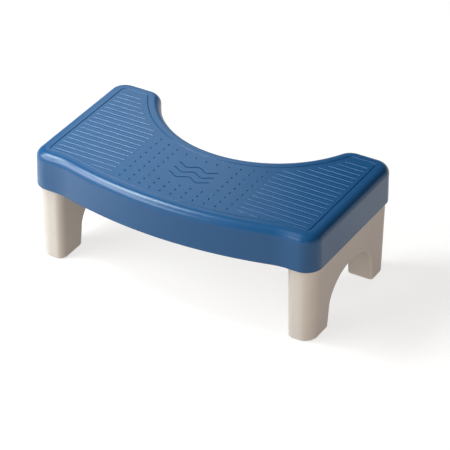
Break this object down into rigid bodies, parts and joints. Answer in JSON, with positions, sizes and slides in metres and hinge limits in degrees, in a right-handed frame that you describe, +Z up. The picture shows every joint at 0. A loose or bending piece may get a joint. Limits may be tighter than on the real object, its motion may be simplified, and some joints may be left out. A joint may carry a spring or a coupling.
{
  "type": "toilet footstool",
  "caption": "Low plastic footstool with a curved notch that goes round the foot of a toilet, a ribbed and dotted top, and arched leg frames that plug in under it.",
  "frame": {"origin": "on the floor, under the middle of the footstool's plan", "axes": "+X along the length, towards the user's right side when seen from the bulging front; +Y from the bulging front to the notched rear; +Z up"},
  "size_m": [0.433, 0.25, 0.1672],
  "materials": {
    "deck_plastic": "satin moulded polypropylene, mid blue",
    "leg_plastic": "satin moulded polypropylene, warm cream",
    "foot_rubber": "matt moulded rubber, warm grey"
  },
  "bodies": {
    "root": {"top_deck": "deck_plastic", "leg_frame_left": "leg_plastic", "leg_frame_right": "leg_plastic", "foot_pad_front_left": "foot_rubber", "foot_pad_front_right": "foot_rubber", "foot_pad_rear_left": "foot_rubber", "foot_pad_rear_right": "foot_rubber"}
  },
  "joints": []
}
